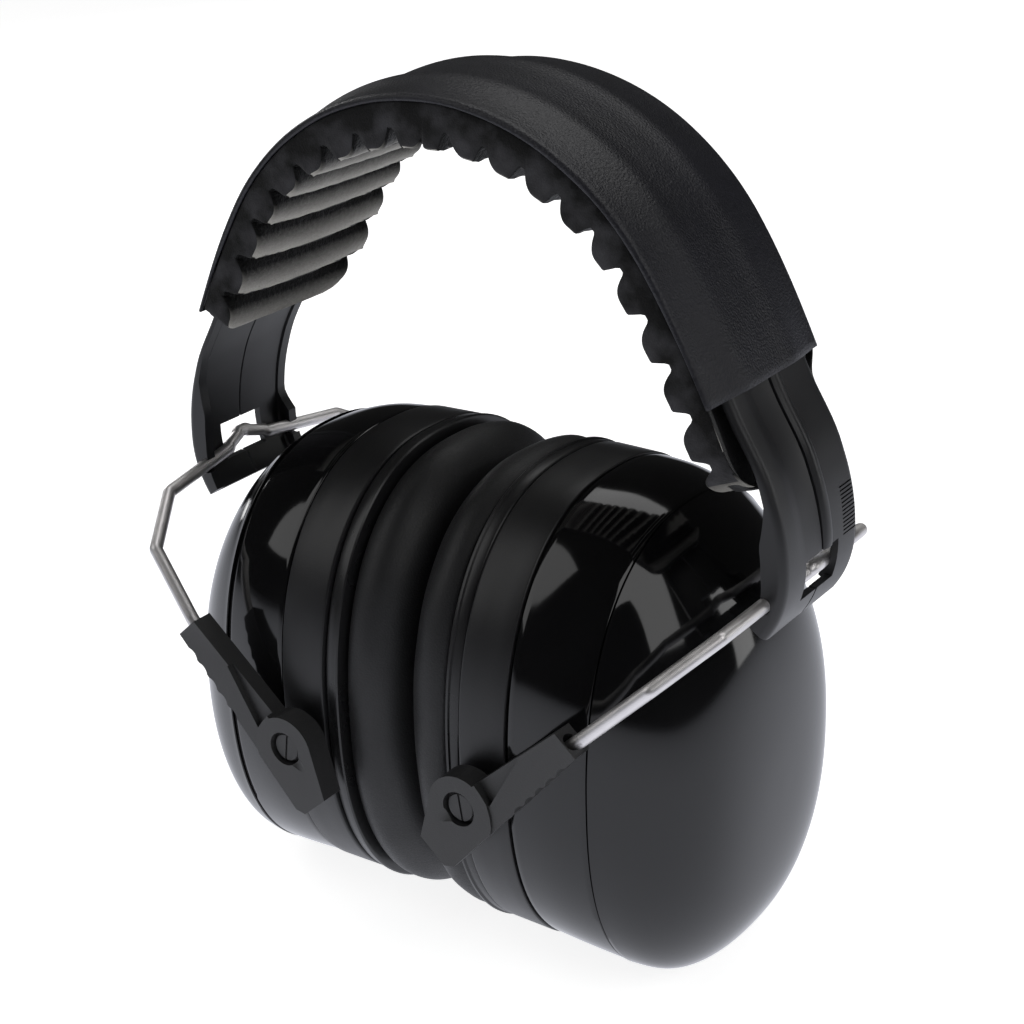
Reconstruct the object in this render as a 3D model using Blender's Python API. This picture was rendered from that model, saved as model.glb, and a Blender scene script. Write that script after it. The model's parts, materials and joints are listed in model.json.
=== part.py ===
"""Earmuff hearing protector: sprung headband, sliding arms, wire forks and two tilting ear cups.

+X runs through both cups, +Z is up and -Y is the front. The earmuff stands on the flat feet of
its cups at z = 0. Sizes are in millimetres in this file and become metres in place().
"""

import math

import bmesh
import bpy
from mathutils import Matrix, Vector

MM = 0.001
GAP = 0.3

# Headband: the cover's edge line is a crown arc that runs into a flatter arc on each side. Its
# middle stands 0.9 above that line, over the arms' tongues.
CROWN_RADIUS = 59.2
CROWN_Z = 119.5
SIDE_RADIUS = 202.2
CROWN_END_DEG = 33.0
COVER_END_DEG = 25.3
PAD_END_RIGHT_DEG = 20.4
COVER_WIDTH = 42.0

# Layers under the cover, as depths below its edge line.
CORE_DEPTH = (4.5, 5.3)
CORE_WIDTH = 24.0
BACKING_DEPTH = (3.6, 5.6, 6.3)
BACKING_WIDTH = 41.6
BACKING_CHANNEL = 34.0
PAD_DEPTH = (6.6, 10.4)
PAD_WIDTH = 41.0
PAD_GROOVE = 2.5
PAD_PITCH = 10.0

# Arms: each is a front and a rear half with a thin slit between them.
ARM_HALF_WIDTH = 15.0
ARM_TOP_DEG = 32.7
ARM_BEND_DEG = 19.4
ARM_BEND_RADIUS = 45.0
ARM_LIP_RADIUS = 22.0
ARM_LIP_TURN_DEG = 35.0
ARM_DEPTH = (1.3, -0.3)
ARM_SLIT = 0.25
FLANGE_WIDTH = 2.4
WINDOW_HALF_WIDTH = 6.5
WINDOW_Z = (-1.5, 6.6)

# Wire fork: its hinge axis runs along Y, HINGE_X out from the middle.
HINGE_X = 69.1
HINGE_Z = 88.5
WIRE_RADIUS = 1.4
WIRE_CLEARANCE = 0.4
CRANK_OUT = 4.1
CRANK_UP = 4.2
CRANK_Y = (2.6, 5.0)

# Fork ends and their pins, on the cup's tilt axis.
PIN_X = 22.0
PIN_Z = 47.5
FORK_END_Y = (43.0, 48.2)
SOCKET_X = 46.8
SOCKET_Z = 68.5
SOCKET_DEPTH = 8.0
BOSS_RADIUS = 4.8
BOSS_Y = (38.9, 42.7)
PIN_RADIUS = 2.0
PIN_HEAD_RADIUS = 3.2
PIN_HOLE_RADIUS = 2.4

# Ear cups: oval sections across X. Each row is x, half width, top, bottom, squareness.
RING_POINTS = 48
CUP_BASE = ((17.1, 41.0, 103.2, 0.8, 2.35), (27.9, 40.8, 103.0, 0.5, 2.35))
CUP_SHELL = (
    (28.3, 40.4, 102.7, 0.7, 2.35),
    (36.0, 40.1, 102.0, 0.0, 2.35),
    (44.8, 38.6, 99.2, -0.9, 2.35),
)
CUP_CAP = (
    (45.2, 38.8, 99.3, -1.0, 2.35),
    (50.0, 37.0, 95.6, -0.9, 2.35),
    (55.0, 34.3, 90.0, 1.6, 2.35),
    (60.0, 30.0, 82.3, 7.0, 2.3),
    (63.5, 24.5, 74.0, 13.5, 2.25),
    (65.7, 17.0, 63.5, 22.0, 2.15),
    (66.6, 8.5, 53.0, 32.0, 2.0),
)
CUP_WALL = 2.2
PLATE_X = (13.4, 16.8)
PLATE_HALF_WIDTH = 40.6
PLATE_OPENING = 24.0
CUP_MID_Z = 51.8
HEIGHT_OVER_WIDTH = 11.2
CUSHION = (
    (13.1, 38.6),
    (10.5, 40.1),
    (7.5, 40.4),
    (4.0, 38.4),
    (1.5, 35.0),
    (0.15, 31.0),
    (0.15, 27.5),
    (1.5, 24.0),
    (5.0, 21.8),
    (9.0, 21.4),
    (13.1, 22.4),
)
FOAM_X = (20.0, 32.0)
FOAM_HALF_WIDTH = 36.0

BLACK = (0.012, 0.012, 0.013)
MATERIALS = {
    "cover_leather": ((0.020, 0.020, 0.022), 0.55, 0.0),
    "pad_leather": ((0.026, 0.026, 0.027), 0.75, 0.0),
    "arm_plastic": ((0.022, 0.022, 0.024), 0.42, 0.0),
    "fork_plastic": ((0.028, 0.028, 0.029), 0.55, 0.0),
    "matte_plastic": ((0.016, 0.016, 0.017), 0.45, 0.0),
    "gloss_plastic": (BLACK, 0.08, 0.0),
    "cushion_leather": ((0.015, 0.015, 0.017), 0.5, 0.0),
    "foam": ((0.05, 0.05, 0.052), 0.95, 0.0),
    "satin_steel": ((0.55, 0.53, 0.51), 0.32, 1.0),
}

for old in list(bpy.data.objects):
    bpy.data.objects.remove(old)


def collection(name):
    made = bpy.data.collections.new(name)
    bpy.context.scene.collection.children.link(made)
    return made


PARTS = collection("earmuff")
CUTTERS = collection("cutters")


def material(name):
    if name in bpy.data.materials:
        return bpy.data.materials[name]
    colour, roughness, metallic = MATERIALS[name]
    made = bpy.data.materials.new(name)
    made.use_nodes = True
    shader = made.node_tree.nodes["Principled BSDF"]
    shader.inputs["Base Color"].default_value = (*colour, 1.0)
    shader.inputs["Roughness"].default_value = roughness
    shader.inputs["Metallic"].default_value = metallic
    return made


def frame_empty(name, x, z):
    """An empty on a joint's axis; the pieces that move on that joint are its children."""
    empty = bpy.data.objects.new(name, None)
    empty.location = (x * MM, 0, z * MM)
    PARTS.objects.link(empty)
    return empty


def place(name, mesh, finish, parent=None):
    """Puts a mesh made in world millimetres under its parent, as a metre object."""
    mesh.transform(Matrix.Scale(MM, 4))
    made = bpy.data.objects.new(name, mesh)
    if parent:
        made.parent = parent
        mesh.transform(Matrix.Translation(-parent.location))
    mesh.materials.append(material(finish))
    PARTS.objects.link(made)
    return made


def mesh_of(name, bm):
    bmesh.ops.recalc_face_normals(bm, faces=bm.faces)
    mesh = bpy.data.meshes.new(name)
    bm.to_mesh(mesh)
    bm.free()
    return mesh


def loft(name, rings, closed=False):
    """Joins rings of equal length by quads, and closes the ends, or the last ring to the first."""
    bm = bmesh.new()
    rows = [[bm.verts.new(point) for point in ring] for ring in rings]
    count = len(rings[0])
    pairs = list(zip(rows, rows[1:]))
    if closed:
        pairs.append((rows[-1], rows[0]))
    for a, b in pairs:
        for i in range(count):
            j = (i + 1) % count
            bm.faces.new((a[i], a[j], b[j], b[i]))
    if not closed:
        bm.faces.new(rows[0])
        bm.faces.new(rows[-1])
    return mesh_of(name, bm)


def cylinder(name, start, end, radius, segments=24):
    """A closed cylinder between two points."""
    start, end = Vector(start), Vector(end)
    way = end - start
    turn = way.to_track_quat("Z", "Y").to_matrix().to_4x4()
    turn.translation = (start + end) / 2
    bm = bmesh.new()
    bmesh.ops.create_cone(
        bm, cap_ends=True, segments=segments, radius1=radius, radius2=radius,
        depth=way.length, matrix=turn,
    )
    return mesh_of(name, bm)


def box(name, low, high):
    bm = bmesh.new()
    bmesh.ops.create_cube(bm, size=1.0)
    low, high = Vector(low), Vector(high)
    for vert in bm.verts:
        vert.co = [
            low[i] + (high[i] - low[i]) * (vert.co[i] + 0.5) for i in range(3)
        ]
    return mesh_of(name, bm)


def combine(target, mesh, operation):
    """A Boolean with a hidden solid, whose mesh is in world millimetres."""
    mesh.transform(Matrix.Scale(MM, 4))
    solid = bpy.data.objects.new(f"{operation.lower()}_{mesh.name}", mesh)
    solid.hide_render = True
    solid.display_type = "WIRE"
    CUTTERS.objects.link(solid)
    cut = target.modifiers.new(mesh.name, "BOOLEAN")
    cut.operation = operation
    cut.solver = "EXACT"
    cut.object = solid


# Headband


def side_centre(side):
    """The centre of the side arc, on a line through the crown's centre at the angle of the joint."""
    angle = math.radians(CROWN_END_DEG)
    inward = CROWN_RADIUS - SIDE_RADIUS
    return side * inward * math.cos(angle), CROWN_Z + inward * math.sin(angle)


def band_point(side, degrees, depth, y):
    """A point below the cover's outer line: degrees above the horizontal, on that side."""
    angle = math.radians(degrees)
    if degrees >= CROWN_END_DEG:
        x, z, radius = 0.0, CROWN_Z, CROWN_RADIUS - depth
    else:
        x, z = side_centre(side)
        radius = SIDE_RADIUS - depth
    return Vector((x + side * radius * math.cos(angle), y, z + radius * math.sin(angle)))


def band_stations(left_end, right_end, step_mm):
    """(side, degrees) from the left end over the crown to the right end, evenly spaced."""
    crown_step = math.degrees(step_mm / CROWN_RADIUS)
    side_step = math.degrees(step_mm / SIDE_RADIUS)

    def run(start, end, step):
        count = max(1, round((end - start) / step))
        return [start + (end - start) * i / count for i in range(count)]

    left = run(left_end, CROWN_END_DEG, side_step) + run(CROWN_END_DEG, 90.0, crown_step)
    right = run(right_end, CROWN_END_DEG, side_step) + run(CROWN_END_DEG, 90.0, crown_step)
    return [(-1, a) for a in left] + [(1, 90.0)] + [(1, a) for a in reversed(right)]


def band_sweep(name, outline, stations):
    """Sweeps an outline of (y, depth) along the band; outline may depend on the station number."""
    rings = []
    for number, (side, degrees) in enumerate(stations):
        rings.append([band_point(side, degrees, depth, y) for y, depth in outline(number)])
    return loft(name, rings)


def mirrored(half):
    """A closed outline from its half at y >= 0, which runs from the middle out and back."""
    return half + [(-y, depth) for y, depth in reversed(half) if y > 0]


def headband():
    edge = COVER_WIDTH / 2
    cover = mirrored([
        (0.0, -0.9), (14.5, -0.9), (17.5, -0.3), (edge - 1.2, 0.8), (edge, 2.0), (edge, 3.2),
        (edge - 1.4, 3.2), (edge - 1.4, 2.3), (17.0, 0.9), (15.8, 0.3), (0.0, 0.3),
    ])
    ends = band_stations(COVER_END_DEG, COVER_END_DEG, 5.0)
    place("headband_cover", band_sweep("headband_cover", lambda n: cover, ends), "cover_leather")

    half = CORE_WIDTH / 2
    core = [(half, CORE_DEPTH[0]), (half, CORE_DEPTH[1]), (-half, CORE_DEPTH[1]), (-half, CORE_DEPTH[0])]
    inner = band_stations(COVER_END_DEG + 0.8, COVER_END_DEG + 0.8, 6.0)
    place("headband_core", band_sweep("headband_core", lambda n: core, inner), "satin_steel")

    edge, channel = BACKING_WIDTH / 2, BACKING_CHANNEL / 2
    lip, floor, base = BACKING_DEPTH
    backing = mirrored([
        (0.0, floor), (channel, floor), (channel, lip), (edge, lip), (edge, base), (0.0, base),
    ])
    skewed = band_stations(COVER_END_DEG, PAD_END_RIGHT_DEG - 0.3, 6.0)
    place("pad_backing", band_sweep("pad_backing", lambda n: backing, skewed), "cover_leather")

    per_pitch = 4
    padded = band_stations(COVER_END_DEG + 0.1, PAD_END_RIGHT_DEG, PAD_PITCH / per_pitch)

    def pad(number):
        groove = 0.5 - 0.5 * math.cos(2 * math.pi * number / per_pitch)
        half, low = PAD_WIDTH / 2, PAD_DEPTH[1] - PAD_GROOVE * groove
        return mirrored([
            (0.0, PAD_DEPTH[0]), (half, PAD_DEPTH[0]), (half, low - 1.0), (half - 1.0, low), (0.0, low),
        ])

    place("headband_pad", band_sweep("headband_pad", pad, padded), "pad_leather")


# Arms


def arm_frame(side, degrees):
    """A point on the arm's outer face and its inward direction, in the XZ plane.

    Angles down to ARM_BEND_DEG follow the band, from there to 0 a tighter bend, and below 0 the
    lip that curls inward.
    """
    under, free = ARM_DEPTH
    ease = min(1.0, max(0.0, (COVER_END_DEG - 0.5 - degrees) / 3.0))
    point = band_point(side, max(degrees, ARM_BEND_DEG), under + (free - under) * ease, 0.0)

    def inward(angle):
        angle = math.radians(angle)
        return Vector((-side * math.cos(angle), 0.0, -math.sin(angle)))

    if degrees < ARM_BEND_DEG:
        centre = point + inward(ARM_BEND_DEG) * ARM_BEND_RADIUS
        point = centre - inward(max(degrees, 0.0)) * ARM_BEND_RADIUS
    if degrees < 0.0:
        centre = point + inward(0.0) * ARM_LIP_RADIUS
        point = centre - inward(degrees) * ARM_LIP_RADIUS
    return point, inward(degrees)


def arm_half(side_name, side, face_name, face, parent):
    """One half of an arm: a plate with an outer flange; the rear half carries the raised rib."""
    angles = [ARM_TOP_DEG, 29.0, COVER_END_DEG, 24.8, 23.8, 22.8, 21.8, 20.6, ARM_BEND_DEG]
    angles += [14.5, 9.7, 4.8, 0.0, -12.0, -24.0, -ARM_LIP_TURN_DEG]
    rings = []
    for degrees in angles:
        thicken = min(1.0, max(0.0, (ARM_BEND_DEG + 1.6 - degrees) / 12.0))
        plate = 1.5 + 0.1 * thicken
        flange = 1.8 + 3.2 * thicken + 1.2 * min(0.0, degrees) / ARM_LIP_TURN_DEG
        if face > 0:
            inside = [(3.4, 0.0), (2.8, -0.5), (0.9, -0.5), (ARM_SLIT, 0.0)]
        else:
            inside = [(8.5, 0.0), (6.5, 0.35), (2.0, 0.35), (ARM_SLIT, 0.35)]
        edge = ARM_HALF_WIDTH
        outline = [(edge, flange), (edge, 1.0), (edge - 0.9, 0.1), *inside]
        outline += [(ARM_SLIT, plate), (edge - FLANGE_WIDTH, plate), (edge - FLANGE_WIDTH, flange)]
        point, inward = arm_frame(side, degrees)
        rings.append([point + inward * depth + Vector((0.0, face * y, 0.0)) for y, depth in outline])
    name = f"arm_{face_name}_{side_name}"
    half = place(name, loft(name, rings), "arm_plastic", parent)

    window = box(
        f"window_{name}",
        (min(side * 60.0, side * 80.0), -WINDOW_HALF_WIDTH, HINGE_Z + WINDOW_Z[0]),
        (max(side * 60.0, side * 80.0), WINDOW_HALF_WIDTH, HINGE_Z + WINDOW_Z[1]),
    )
    combine(half, window, "DIFFERENCE")
    reach = WIRE_RADIUS + WIRE_CLEARANCE
    inner_x, outer_x = side * 60.0, side * (HINGE_X + reach)
    notch = box(
        f"notch_{name}",
        (min(inner_x, outer_x), min(face * 11.0, face * 16.0), HINGE_Z - reach),
        (max(inner_x, outer_x), max(face * 11.0, face * 16.0), HINGE_Z + reach),
    )
    combine(half, notch, "DIFFERENCE")
    return half


# Wire fork


def rounded(points, radius, steps=4):
    """The points of a route whose corners, but for slight ones, are arcs of that radius."""
    points = [Vector(point) for point in points]
    route = [points[0]]
    for before, corner, after in zip(points, points[1:], points[2:]):
        a, b = (before - corner).normalized(), (after - corner).normalized()
        half = a.angle(b) / 2
        if half > math.radians(80.0):
            route.append(corner)
            continue
        cut = radius / math.tan(half)
        centre = corner + (a + b).normalized() * (radius / math.sin(half))
        first, last = corner + a * cut - centre, corner + b * cut - centre
        route += [centre + first.slerp(last, i / steps) for i in range(steps + 1)]
    return route + [points[-1]]


def wire_half(side):
    """The front half of the fork's route, from inside the socket to the middle of the crank."""
    mid_y = -(FORK_END_Y[0] + FORK_END_Y[1]) / 2
    way = socket_way(side)
    mouth = Vector((side * SOCKET_X, mid_y, SOCKET_Z))
    return [
        mouth - way * (SOCKET_DEPTH - GAP),
        mouth + way * 1.6,
        (side * 61.3, -42.3, HINGE_Z - 7.6),
        (side * HINGE_X, -28.7, HINGE_Z),
        (side * HINGE_X, -CRANK_Y[1], HINGE_Z),
        (side * (HINGE_X + CRANK_OUT), -CRANK_Y[0], HINGE_Z + CRANK_UP),
    ]


def wire_fork(side_name, side, parent):
    front = wire_half(side)
    rear = [Vector((point[0], -point[1], point[2])) for point in reversed(front)]
    route = rounded(list(front) + rear, 1.7)
    curve = bpy.data.curves.new(f"wire_fork_{side_name}", "CURVE")
    curve.dimensions = "3D"
    curve.bevel_depth = WIRE_RADIUS * MM
    curve.bevel_resolution = 2
    curve.use_fill_caps = True
    line = curve.splines.new("POLY")
    line.points.add(len(route) - 1)
    for point, target in zip(line.points, route):
        point.co = (*(target * MM - parent.location), 1.0)
    curve.materials.append(material("satin_steel"))
    fork = bpy.data.objects.new(f"wire_fork_{side_name}", curve)
    fork.parent = parent
    PARTS.objects.link(fork)


# Fork ends and pins


def socket_way(side):
    """The direction of the socket's hole, out of its mouth."""
    return Vector((side * math.cos(math.radians(48.0)), 0.0, math.sin(math.radians(48.0))))


def fork_end_outline(side):
    """The side view of a fork end: socket, boss round the pin, and wedge tip."""
    way = socket_way(side)
    across = Vector((-side * way.z, 0.0, side * way.x))
    mouth = Vector((side * SOCKET_X, 0.0, SOCKET_Z))
    points = [mouth + across * 3.5, mouth - across * 3.5]
    points += [Vector((side * x, 0.0, z)) for x, z in ((28.4, 43.0), (20.4, 35.2), (18.2, 34.9), (13.0, 37.6))]
    boss = Vector((side * PIN_X, 0.0, PIN_Z))
    for degrees in range(170, 20, -25):
        angle = math.radians(degrees)
        points.append(boss + Vector((side * math.cos(angle), 0.0, math.sin(angle))) * 7.0)
    return points


def fork_end(side_name, side, face_name, face, parent):
    """An extruded outline with a socket for the wire and a stepped hole for the pin."""
    name = f"fork_end_{face_name}_{side_name}"
    rings = [
        [point + Vector((0.0, face * y, 0.0)) for point in fork_end_outline(side)]
        for y in FORK_END_Y
    ]
    end = place(name, loft(name, rings), "fork_plastic", parent)
    mid_y = face * (FORK_END_Y[0] + FORK_END_Y[1]) / 2
    mouth = Vector((side * SOCKET_X, mid_y, SOCKET_Z))
    way = socket_way(side)
    socket = cylinder(
        f"socket_{name}", mouth - way * SOCKET_DEPTH, mouth + way * 4.0,
        WIRE_RADIUS + WIRE_CLEARANCE, 16,
    )
    combine(end, socket, "DIFFERENCE")
    hole = cylinder(
        f"hole_{name}", (side * PIN_X, face * 40.0, PIN_Z), (side * PIN_X, face * 50.0, PIN_Z),
        PIN_HOLE_RADIUS,
    )
    combine(end, hole, "DIFFERENCE")
    recess = cylinder(
        f"recess_{name}", (side * PIN_X, face * 46.5, PIN_Z), (side * PIN_X, face * 50.0, PIN_Z),
        PIN_HEAD_RADIUS + 0.5,
    )
    combine(end, recess, "DIFFERENCE")


def pivot_pin(side_name, side, face_name, face, parent):
    """A turned pin with a slotted head, from the cup's boss through the fork end."""
    name = f"pivot_pin_{face_name}_{side_name}"
    profile = [(41.0, PIN_RADIUS), (46.8, PIN_RADIUS), (46.8, PIN_HEAD_RADIUS), (48.0, PIN_HEAD_RADIUS)]
    rings = []
    for y, radius in profile:
        ring = []
        for i in range(20):
            angle = 2 * math.pi * i / 20
            x = side * PIN_X + radius * math.cos(angle)
            ring.append(Vector((x, face * y, PIN_Z + radius * math.sin(angle))))
        rings.append(ring)
    pin = place(name, loft(name, rings), "fork_plastic", parent)
    slot = box(
        f"slot_{name}",
        (side * PIN_X - 0.4, min(face * 47.5, face * 49.0), PIN_Z - 5.0),
        (side * PIN_X + 0.4, max(face * 47.5, face * 49.0), PIN_Z + 5.0),
    )
    combine(pin, slot, "DIFFERENCE")


# Ear cups


def oval(side, x, half_width, top, bottom, squareness, shrink=0.0, foot=0.0):
    """A squarish oval across X; nothing goes below the foot."""
    middle, half_height = (top + bottom) / 2, (top - bottom) / 2 - shrink
    half_width -= shrink
    ring = []
    for i in range(RING_POINTS):
        angle = 2 * math.pi * (i + 0.5) / RING_POINTS
        across, up = math.cos(angle), math.sin(angle)
        y = math.copysign(abs(across) ** (2 / squareness), across) * half_width
        z = middle + math.copysign(abs(up) ** (2 / squareness), up) * half_height
        ring.append(Vector((side * x, y, max(z, foot))))
    return ring


def soft_oval(side, x, half_width):
    height = half_width + HEIGHT_OVER_WIDTH
    return oval(side, x, half_width, CUP_MID_Z + height, CUP_MID_Z - height, 2.35)


def tube(side, rows):
    """A wall of CUP_WALL along the given outer sections."""
    outside = [oval(side, *row) for row in rows]
    inside = [oval(side, *row, shrink=CUP_WALL, foot=CUP_WALL) for row in rows]
    return outside + inside[::-1]


def cup(side_name, side, parent):
    name = f"cup_base_{side_name}"
    base = place(name, loft(name, tube(side, CUP_BASE), closed=True), "matte_plastic", parent)
    for face in (-1, 1):
        low, high = sorted((face * BOSS_Y[0], face * BOSS_Y[1]))
        boss = cylinder(
            f"boss_{side_name}_{face}", (side * PIN_X, low, PIN_Z), (side * PIN_X, high, PIN_Z),
            BOSS_RADIUS,
        )
        combine(base, boss, "UNION")
        low, high = sorted((face * 40.3, face * 44.0))
        bore = cylinder(
            f"bore_{side_name}_{face}", (side * PIN_X, low, PIN_Z), (side * PIN_X, high, PIN_Z),
            PIN_HOLE_RADIUS,
        )
        combine(base, bore, "DIFFERENCE")

    name = f"cup_shell_{side_name}"
    place(name, loft(name, tube(side, CUP_SHELL), closed=True), "gloss_plastic", parent)

    name = f"cup_cap_{side_name}"
    outside = [oval(side, *row) for row in CUP_CAP]
    inside = [
        oval(side, x - min(CUP_WALL, x - CUP_CAP[0][0]), *rest, shrink=CUP_WALL, foot=CUP_WALL)
        for x, *rest in CUP_CAP
    ]
    place(name, loft(name, outside[::-1] + inside), "gloss_plastic", parent)

    name = f"cushion_plate_{side_name}"
    rings = [soft_oval(side, x, PLATE_HALF_WIDTH) for x in PLATE_X]
    rings += [soft_oval(side, x, PLATE_OPENING) for x in reversed(PLATE_X)]
    place(name, loft(name, rings, closed=True), "matte_plastic", parent)

    name = f"ear_cushion_{side_name}"
    rings = [soft_oval(side, x, half_width) for x, half_width in CUSHION]
    place(name, loft(name, rings, closed=True), "cushion_leather", parent)

    name = f"foam_insert_{side_name}"
    rings = [soft_oval(side, x, FOAM_HALF_WIDTH) for x in FOAM_X]
    place(name, loft(name, rings), "foam", parent)


headband()
for side_name, side in (("left", -1), ("right", 1)):
    arm_axis = frame_empty(f"arm_axis_{side_name}", side * HINGE_X, HINGE_Z)
    fork_axis = frame_empty(f"fork_axis_{side_name}", side * HINGE_X, HINGE_Z)
    cup_axis = frame_empty(f"cup_axis_{side_name}", side * PIN_X, PIN_Z)
    for face_name, face in (("front", -1), ("rear", 1)):
        arm_half(side_name, side, face_name, face, arm_axis)
        fork_end(side_name, side, face_name, face, fork_axis)
        pivot_pin(side_name, side, face_name, face, cup_axis)
    wire_fork(side_name, side, fork_axis)
    cup(side_name, side, cup_axis)
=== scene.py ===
"""Looks of the earmuff hearing protector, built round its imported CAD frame.

+X runs through both cups, +Z is up and -Y is the front. Shapes are worked out in millimetres
and become metres in piece().
"""

import json
import math

import bmesh
import bpy
import numpy as np
from mathutils import Matrix, Vector, noise


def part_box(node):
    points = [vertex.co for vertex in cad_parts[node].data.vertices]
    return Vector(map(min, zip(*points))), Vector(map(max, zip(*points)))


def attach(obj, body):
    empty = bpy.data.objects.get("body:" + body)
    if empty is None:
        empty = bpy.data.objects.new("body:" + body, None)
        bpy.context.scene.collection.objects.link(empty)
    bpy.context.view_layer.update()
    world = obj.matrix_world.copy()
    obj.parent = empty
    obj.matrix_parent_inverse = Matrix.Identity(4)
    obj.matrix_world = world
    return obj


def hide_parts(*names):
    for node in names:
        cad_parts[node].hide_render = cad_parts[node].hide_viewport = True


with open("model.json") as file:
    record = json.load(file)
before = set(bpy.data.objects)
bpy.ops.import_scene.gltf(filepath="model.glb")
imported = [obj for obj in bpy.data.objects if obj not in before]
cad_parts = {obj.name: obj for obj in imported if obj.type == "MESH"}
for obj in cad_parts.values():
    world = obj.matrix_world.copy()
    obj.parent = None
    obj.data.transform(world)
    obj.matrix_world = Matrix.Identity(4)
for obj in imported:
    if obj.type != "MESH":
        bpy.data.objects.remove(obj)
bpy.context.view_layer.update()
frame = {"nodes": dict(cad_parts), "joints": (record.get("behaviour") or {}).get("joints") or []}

MM = 0.001
JOINTS = {joint["name"]: joint for joint in frame["joints"]}

# Datums from the frame, in millimetres.
HINGE_X, _, HINGE_Z = (value / MM for value in JOINTS["fork_right_swing"]["pos_m"])
PIN_X, _, PIN_Z = (value / MM for value in JOINTS["cup_right_tilt"]["pos_m"])
COVER_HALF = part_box("headband_cover")[1].y / MM
BAND_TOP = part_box("headband_cover")[1].z / MM
PAD_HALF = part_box("headband_pad")[1].y / MM
PLATE_X = [value.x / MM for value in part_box("cushion_plate_right")]
BASE_X = [value.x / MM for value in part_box("cup_base_right")]
FORK_Y = [-value.y / MM for value in reversed(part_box("fork_end_front_right"))]

# Headband arcs.
COVER_RISE = 0.9
CROWN_RADIUS = 59.2
CROWN_Z = BAND_TOP - COVER_RISE - CROWN_RADIUS
SIDE_RADIUS = 202.2
CROWN_END_DEG = 33.0
COVER_END_DEG = 25.3
PAD_END_RIGHT_DEG = 20.4

# Arms.
ARM_HALF_WIDTH = 15.0
ARM_TOP_DEG = 32.7
ARM_BEND_DEG = 19.4
ARM_BEND_RADIUS = 45.0
ARM_LIP_RADIUS = 22.0
ARM_LIP_TURN_DEG = 35.0
ARM_DEPTH = (1.3, -0.3)
ARM_PLATE = 1.5
ARM_SLIT = 0.25
FLANGE_WIDTH = 2.4
FLANGE_HOLE_Y = (11.0, 16.0)
REAR_FLANGE = 1.9
RIB_CENTRE = 1.95
RIB_HALF = 1.45
RIB_HEIGHT = 0.75
WINDOW_HALF_WIDTH = 6.5
WINDOW_X = (60.0, 80.0)
WINDOW_Z = (-1.5, 6.6)
GRIP_COUNT = 13
GRIP_FROM_DEG = 1.5
GRIP_STEP_DEG = 1.0
GRIP_FROM_Y = 8.6
GRIP_HALF = 0.17
GRIP_DEPTH = 0.32

# Wire fork and its ends.
WIRE_RADIUS = 1.4
WIRE_BEND_RADIUS = 2.6
WIRE_BEND_STEPS = 10
SHOULDER_X = 61.3
SHOULDER_Y = (42.3, 28.7)
SHOULDER_DROP = 7.6
CRANK_OUT = 4.1
CRANK_UP = 4.2
CRANK_Y = (2.6, 5.0)
SOCKET_X = 46.8
SOCKET_Z = 68.5
SOCKET_DEG = 48.0
SOCKET_DEPTH = 8.0
MOUTH_HALF = 3.0
BOSS_RADIUS = 7.0
# Corners of the recesses in a fork end's outer face: outward and up from its pin.
BAR_DEPTH = 0.4
BAR_CUT = (
    (4.9, 5.6), (6.6, 3.4), (7.4, 0.6), (7.6, -1.8), (6.9, -4.8), (7.8, -16.0), (40.0, 10.0),
    (30.0, 36.0), (3.4, 8.2),
)
LEDGE_DEPTH = 1.7
LEDGE_CUT = ((5.4, 4.9), (7.1, 2.6), (14.2, 15.0), (10.0, 17.0), (3.0, 7.6))
# The wedge tip's corners: x, z.
FORK_TIP = ((20.2, 33.9), (17.8, 33.4), (12.3, 38.3))
EDGE_GRIPS = 5
EDGE_GRIP_PITCH = 3.7
EDGE_GRIP_RADIUS = 2.3
PIN_HOLE_RADIUS = 2.4
PIN_RECESS_RADIUS = 3.65
PIN_RECESS_Y = 46.3
PIN_SLOT_Y = 47.15
PIN_SLOT_HALF = 0.25
PIN_TURN_DEG = 8.0
# A pin's profile: distance from the middle of the object, radius.
PIN_PROFILE = (
    (41.0, 1.7), (41.3, 2.0), (46.6, 2.0), (46.6, 2.7), (46.75, 2.95), (47.0, 3.0),
    (47.25, 3.0), (47.45, 2.85), (47.5, 2.5),
)

# Ear cups: oval sections across X. Each row is x, half width, top, bottom, squareness.
SQUARENESS = 2.35
CUP_WALL = 2.2
CUP_SHELL = (
    (28.3, 40.4, 102.7, 0.7, SQUARENESS),
    (36.0, 40.1, 102.0, 0.0, SQUARENESS),
    (44.8, 38.6, 99.2, -0.9, SQUARENESS),
)
CUP_CAP = (
    (45.2, 38.8, 99.3, -1.0, SQUARENESS),
    (50.0, 37.0, 95.6, -0.9, SQUARENESS),
    (55.0, 34.3, 90.0, 1.6, SQUARENESS),
    (60.0, 30.0, 82.3, 7.0, 2.3),
    (63.5, 24.5, 74.0, 13.5, 2.25),
    (65.7, 17.0, 63.5, 22.0, 2.15),
    (66.6, 8.5, 53.0, 32.0, 2.0),
    (66.8, 0.2, 42.7, 42.3, 2.0),
)
CUP_MID_Z = 51.8
HEIGHT_OVER_WIDTH = 11.2
PLATE_BORE = 24.0
# The matte ring: half width, top and bottom at its inner and outer edge.
CUP_BASE_ENDS = ((41.0, 103.2, 0.8), (40.8, 103.0, 0.5))
CUP_BOSS_Y = (38.9, 42.7)
CUP_BOSS_RADIUS = 4.8
CUP_BORE_Y = (40.3, 44.0)
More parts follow.
